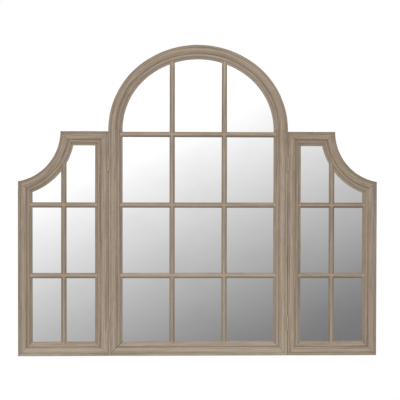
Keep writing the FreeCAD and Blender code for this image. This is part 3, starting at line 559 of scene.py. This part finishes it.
def bare_metal(name, nodes, bright, dull, dullness, roughness, relief=True):
    """Plated or drawn steel, dulled in clouds and scratches. On tiny pieces these have no relief."""
    finish, x, y, z = begin_finish(name)
    cloud = y.noise(x * 260, y * 260, z * 260, 3.0)
    scratch = y.noise(x * 1800, y * 1800, z * 240, 2.0)
    dulled = (cloud.rise(0.35, 0.7) * 0.6 + scratch.rise(0.55, 0.7) * 0.3) * dullness
    surface = {"Metallic": 1.0, "Roughness": roughness + cloud * 0.16}
    if relief:
        surface["Normal"] = bumped(scratch, SCRATCH_DEPTH, 0.4, METAL_ARRIS)
    end_finish(finish, nodes, Base_Color=dulled.tint(bright, dull), **surface)


zinc_screws = ["centre_backing_screws", "left_backing_screws", "right_backing_screws", "hanger_screws"]
bare_metal("zinc_screw", zinc_screws, SCREW_ZINC, SCREW_DULL, 0.8, 0.28, relief=False)

# Biscuits: compressed beech lozenges glued into slots on both sides of every joint, out of sight
# inside the frame.
BEECH = (0.520, 0.345, 0.205, 1)
BEECH_DARK = (0.375, 0.230, 0.125, 1)
finish, x, y, z = begin_finish("beech")
flecks = y.noise(x * 420, y * 1600, z * 420, 3.0)
end_finish(
    finish,
    ["centre_biscuits", "left_biscuits", "right_biscuits"],
    Base_Color=flecks.rise(0.35, 0.65).tint(BEECH, BEECH_DARK),
    Roughness=0.66 + flecks * 0.2,
)

# Hinges: two slim steel butt hinges in each seam, let flush into the edges of the stiles. Leaves,
# knuckles and screws are painted over with the colour of the wood; the pins are left bare.
PAINT = (0.292, 0.232, 0.178, 1)
PAINT_WORN = (0.205, 0.160, 0.120, 1)
PIN_STEEL = (0.520, 0.500, 0.470, 1)
PIN_DULL = (0.330, 0.315, 0.295, 1)
PAINT_RELIEF = 0.0002
PAINT_ARRIS = 0.0003
hinges = [f"{side}_{place}_hinge" for side in LEFT_RIGHT for place in ("lower", "upper")]
leaves = [f"{hinge}_{leaf}" for hinge in hinges for leaf in ("frame_leaf", "wing_leaf")]
hinge_screws = ["centre_hinge_screws", "left_hinge_screws", "right_hinge_screws"]
finish, x, y, z = begin_finish("painted_hinge")
brushed = y.noise(x * 700, y * 700, z * 40, 3.0)
worn = y.noise(x * 300, y * 300, z * 120, 4.0).rise(0.58, 0.70)
colour = brushed.rise(0.3, 0.7).tint(PAINT, STAIN_LIGHT)
end_finish(
    finish,
    leaves + hinge_screws,
    Base_Color=(worn * 0.7).tint(colour, PAINT_WORN),
    Metallic=worn * 0.35,
    Roughness=0.55 + brushed * 0.14 - worn * 0.12,
    Normal=bumped(brushed * 0.5 - worn * 0.3, PAINT_RELIEF, 0.4, PAINT_ARRIS),
)
pins = [f"{hinge}_pin" for hinge in hinges]
bare_metal("drawn_steel", pins, PIN_STEEL, PIN_DULL, 1.0, 0.30)

# Hanger plates: stamped keyhole plates of zinc-plated steel, let into the back of the centre stiles
# and held by two screws each. The whole mirror hangs on a pair of wall screws in them.
ZINC = (0.560, 0.565, 0.560, 1)
ZINC_DULL = (0.360, 0.358, 0.345, 1)
bare_metal("zinc_plate", ["hanger_plates"], ZINC, ZINC_DULL, 1.0, 0.34)

# Bumpers: round pads of dark rubber stuck to the back, which keep the frames off the wall. Their
# skin is slightly gritty and has a dusty bloom.
RUBBER = (0.022, 0.022, 0.023, 1)
RUBBER_DUST = (0.085, 0.082, 0.078, 1)
GRIT_DEPTH = 0.0002
RUBBER_ARRIS = 0.0005
finish, x, y, z = begin_finish("rubber")
bloom = y.noise(x * 330, y * 330, z * 330, 4.0)
grit = y.noise(x * 2400, y * 2400, z * 2400, 2.0)
end_finish(
    finish,
    ["centre_bumpers", "left_bumpers", "right_bumpers"],
    Base_Color=(bloom.rise(0.4, 0.75) * 0.7).tint(RUBBER, RUBBER_DUST),
    Roughness=0.62 + bloom * 0.25,
    Normal=bumped(grit, GRIT_DEPTH, 0.4, RUBBER_ARRIS),
)

# Floor: a pale painted floor at the height below a hanging mirror, which fades into the white of
# the studio.
FLOOR_HEIGHT = BOTTOM - 0.9
FLOOR_RADIUS = 2.1
FLOOR_FADE = (FLOOR_RADIUS * 0.35, FLOOR_RADIUS * 0.98)
FLOOR_PALE = (0.80, 0.80, 0.79, 1)
FLOOR_SCUFF = (0.74, 0.74, 0.73, 1)
bpy.ops.object.select_all(action="DESELECT")
bpy.ops.mesh.primitive_circle_add(
    vertices=96, radius=FLOOR_RADIUS, fill_type="NGON", location=(0, 0, FLOOR_HEIGHT)
)
bpy.ops.object.transform_apply(location=True)
floor = bpy.context.object
floor.name = "studio_floor"
finish, x, y, z = begin_finish("pale_floor")
cloud = y.noise(x * 2.5, y * 2.5, z, 4.0)
from_middle = (x * x + y * y).root()
end_finish(
    finish,
    [],
    Base_Color=cloud.rise(0.35, 0.7).tint(FLOOR_PALE, FLOOR_SCUFF),
    Roughness=0.75 + cloud * 0.1,
    Alpha=1 - from_middle.rise(*FLOOR_FADE),
)
floor.data.materials.append(finish)

# Studio: white to the eye and pale and even as light. What the mirrors show of the room runs from
# white at the upper left to grey at the lower right, and one large soft lamp hangs in front above.
ROOM_AHEAD = 0.9017  # square root of the room's brightness straight in front of the mirror
ROOM_TO_RIGHT = -0.8624
ROOM_UPWARD = 2.0087
ROOM_DARKEST = 0.42
ROOM_LIGHTEST = 1.06
ROOM_BLEND = 0.12  # how gently the room's light settles at either end
ROOM_EVEN = 0.62
LAMP_PLACE = Vector((-0.6, -7.0, 3.8))
LAMP_AIM = Vector((0, 0, -0.2))
LAMP_SIZE = (4.2, 2.6)
LAMP_WATTS = 315.0
world = bpy.data.worlds.new("studio")
bpy.context.scene.world = world
world.use_nodes = True
way = Flow(world.node_tree).node("TexCoord", {}, {}, "Generated")
to_right = way.node("SeparateXYZ", {}, {"Vector": way}, "X")
up = way.node("SeparateXYZ", {}, {"Vector": way}, "Z")
level = ROOM_AHEAD + to_right * ROOM_TO_RIGHT + up * ROOM_UPWARD
level = level.math("SMOOTH_MAX", level, ROOM_DARKEST, ROOM_BLEND)
level = level.math("SMOOTH_MIN", level, ROOM_LIGHTEST, ROOM_BLEND)
camera_ray = way.node("LightPath", {}, {}, "Is Camera Ray")
glossy_ray = way.node("LightPath", {}, {}, "Is Glossy Ray")
brightness = ROOM_EVEN + glossy_ray * (level * level * (1 / SILVER[0]) - ROOM_EVEN)
brightness = brightness + camera_ray * (1 - brightness)
background = world.node_tree.nodes["Background"]
background.inputs["Color"].default_value = (1, 1, 1, 1)
world.node_tree.links.new(brightness.socket, background.inputs["Strength"])
lamp = bpy.data.lights.new("soft_lamp", "AREA")
lamp.shape = "RECTANGLE"
lamp.size, lamp.size_y = LAMP_SIZE
lamp.energy = LAMP_WATTS
lamp_object = bpy.data.objects.new("soft_lamp", lamp)
bpy.context.scene.collection.objects.link(lamp_object)
lamp_object.location = LAMP_PLACE
lamp_object.rotation_euler = (LAMP_AIM - LAMP_PLACE).to_track_quat("-Z", "Y").to_euler()
lamp_object.visible_glossy = False

# Camera: in front, a little to the left of the middle and above the middle crossbar, with a long
# lens. It is turned so that the corners of the frame fall where the photograph has them.
CAMERA_PLACE = (-0.0685, -3.0, -0.1454)
CAMERA_LENS = 78.87
CAMERA_SENSOR = 36.0
CAMERA_PITCH = -0.847  # degrees from level, from straight ahead and from upright
CAMERA_YAW = -1.434
CAMERA_ROLL = 0.099
camera = bpy.data.cameras.new("camera")
camera.sensor_width = CAMERA_SENSOR
camera.lens = CAMERA_LENS
camera_object = bpy.data.objects.new("camera", camera)
bpy.context.scene.collection.objects.link(camera_object)
turn = Euler((math.radians(90 + CAMERA_PITCH), 0, math.radians(CAMERA_YAW))).to_matrix()
turn = turn @ Matrix.Rotation(math.radians(CAMERA_ROLL), 3, "Z")
camera_object.location = CAMERA_PLACE
camera_object.rotation_euler = turn.to_euler()
bpy.context.scene.camera = camera_object
bpy.context.scene.view_settings.view_transform = "Standard"
